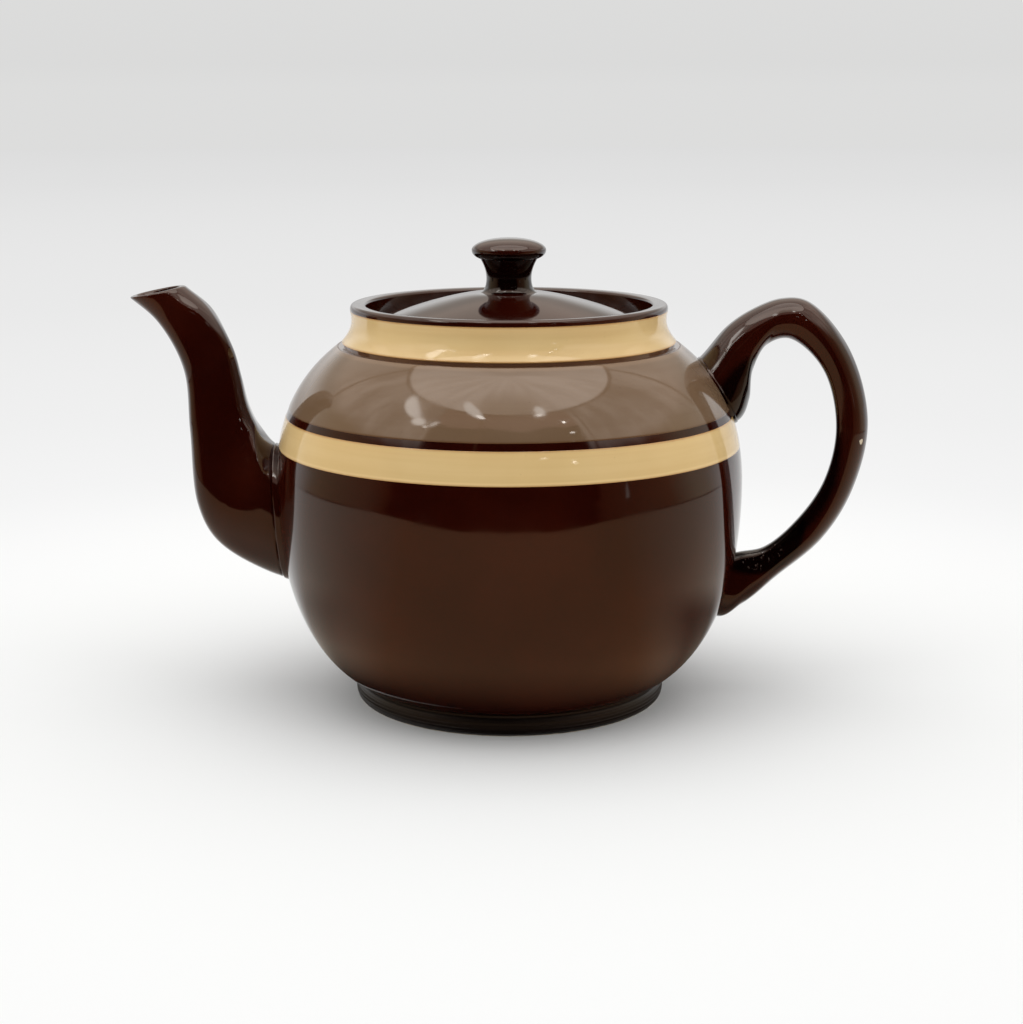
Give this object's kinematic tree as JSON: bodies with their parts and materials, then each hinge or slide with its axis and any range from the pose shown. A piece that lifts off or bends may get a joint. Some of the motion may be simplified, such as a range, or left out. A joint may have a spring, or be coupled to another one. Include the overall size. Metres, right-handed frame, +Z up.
{
  "type": "teapot",
  "caption": "Round glazed earthenware teapot with slip bands, curved spout, looped handle and a lift-off lid with a knob.",
  "frame": {"origin": "on the table, under the middle of the box round the whole pot; the pot's own axis is 2.6 mm towards +X from it", "axes": "+Z up, +X towards the handle, -X towards the spout, Y across the pot"},
  "size_m": [0.2387, 0.152, 0.1504],
  "materials": {
    "brown_glaze": "high gloss dark brown lead-type glaze",
    "cream_slip": "cream slip under clear gloss glaze",
    "taupe_slip": "grey-brown slip under clear gloss glaze"
  },
  "bodies": {
    "pot": {"pot_body": "brown_glaze", "slip_band_neck": "cream_slip", "slip_band_shoulder": "taupe_slip", "slip_band_belt": "cream_slip", "spout": "brown_glaze", "handle": "brown_glaze"},
    "lid": {"lid_cover": "brown_glaze", "lid_knob": "brown_glaze"}
  },
  "joints": [
    {"name": "lid_lift", "type": "slide", "parent": "pot", "child": "lid", "axis": [0, 0, 1], "range_m": [0, 0.06]}
  ]
}
